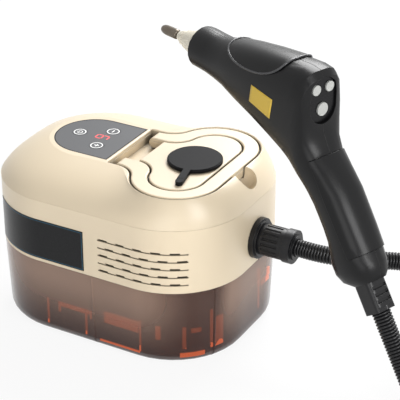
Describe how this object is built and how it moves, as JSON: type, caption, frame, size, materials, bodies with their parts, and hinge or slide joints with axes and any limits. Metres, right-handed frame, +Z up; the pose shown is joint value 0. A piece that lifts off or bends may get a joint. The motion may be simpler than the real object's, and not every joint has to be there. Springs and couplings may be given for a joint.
{
  "type": "handheld steam cleaner",
  "caption": "Table-top steam base with a smoky water tank, a flush folding carry handle, touch keys and a capped filler, joined by a ribbed hose to a pistol-grip steam gun with thumb buttons.",
  "frame": {"origin": "on the table, under the middle of the base", "axes": "+X along the base towards the hose, -Y towards the user and the vents, +Z up"},
  "size_m": [0.5407, 0.1974, 0.2774],
  "materials": {
    "cream_plastic": "satin cream moulding",
    "smoke_tank": "clear smoky brown",
    "black_plastic": "fine matt black",
    "rubber": "soft black",
    "hose": "ribbed black",
    "grey_panel": "smooth grey",
    "white_plastic": "plain moulding",
    "ivory_plastic": "heat-proof moulding",
    "button_white": "satin white",
    "tube": "silicone",
    "board": "solder mask",
    "steel": "plated",
    "cast_metal": "as cast",
    "brass_metal": "turned",
    "nozzle_metal": "heat tinted"
  },
  "bodies": {
    "base": {"rubber_feet": "rubber", "water_tank": "smoke_tank", "tank_gasket": "rubber", "chassis_deck": "white_plastic", "deck_screws": "steel", "upper_housing": "cream_plastic", "filler_neck": "white_plastic", "cap_anchor": "rubber", "handle_pins": "steel", "control_panel": "grey_panel", "control_board": "board", "display_module": "black_plastic", "boiler": "cast_metal", "boiler_thermostat": "white_plastic", "water_pump": "brass_metal", "suction_tube": "tube", "suction_filter": "white_plastic", "feed_tube": "tube", "steam_pipe": "tube", "power_board": "board", "hose_flange": "black_plastic", "hose_connector": "black_plastic", "cord_bush": "rubber", "base_hose": "hose", "hose_coil": "hose", "gun_hose": "hose", "hose_tie": "hose"},
    "handle": {"carry_handle": "cream_plastic"},
    "cap": {"filler_cap": "rubber"},
    "power_key": {"key_power": "grey_panel"},
    "plus_key": {"key_plus": "grey_panel"},
    "minus_key": {"key_minus": "grey_panel"},
    "gun": {"gun_shell_left": "black_plastic", "gun_shell_right": "black_plastic", "gun_top_cover": "black_plastic", "grip_insert": "black_plastic", "button_panel": "black_plastic", "switch_board": "board", "gun_steam_tube": "tube", "nozzle_collar": "ivory_plastic", "nozzle_tip": "nozzle_metal", "strain_relief": "rubber", "shell_screws": "steel"},
    "steam_key": {"steam_button": "button_white"},
    "left_key": {"left_button": "button_white"},
    "right_key": {"right_button": "button_white"}
  },
  "joints": [
    {"name": "handle_lift", "type": "hinge", "parent": "base", "child": "handle", "pos_m": [0.003, 0, 0.1425], "axis": [0, -1, 0], "range_deg": [0, 90]},
    {"name": "cap_open", "type": "hinge", "parent": "base", "child": "cap", "pos_m": [0.06196, -0.03716, 0.1503], "axis": [0.9778, 0.2095, 0], "range_deg": [0, 110]},
    {"name": "power_press", "type": "slide", "parent": "base", "child": "power_key", "axis": [0, 0, -1], "range_m": [0, 0.0005], "stiffness_N_per_m": 400},
    {"name": "plus_press", "type": "slide", "parent": "base", "child": "plus_key", "axis": [0, 0, -1], "range_m": [0, 0.0005], "stiffness_N_per_m": 400},
    {"name": "minus_press", "type": "slide", "parent": "base", "child": "minus_key", "axis": [0, 0, -1], "range_m": [0, 0.0005], "stiffness_N_per_m": 400},
    {"name": "gun_lift", "type": "slide", "parent": "base", "child": "gun", "axis": [0, 0, 1], "range_m": [0, 0.12], "deforming": ["gun_hose"]},
    {"name": "steam_press", "type": "slide", "parent": "gun", "child": "steam_key", "axis": [-0.9397, 0.342, 0], "range_m": [0, 0.0015], "stiffness_N_per_m": 600},
    {"name": "left_press", "type": "slide", "parent": "gun", "child": "left_key", "axis": [-0.9397, 0.342, 0], "range_m": [0, 0.0015], "stiffness_N_per_m": 600},
    {"name": "right_press", "type": "slide", "parent": "gun", "child": "right_key", "axis": [-0.9397, 0.342, 0], "range_m": [0, 0.0015], "stiffness_N_per_m": 600}
  ]
}
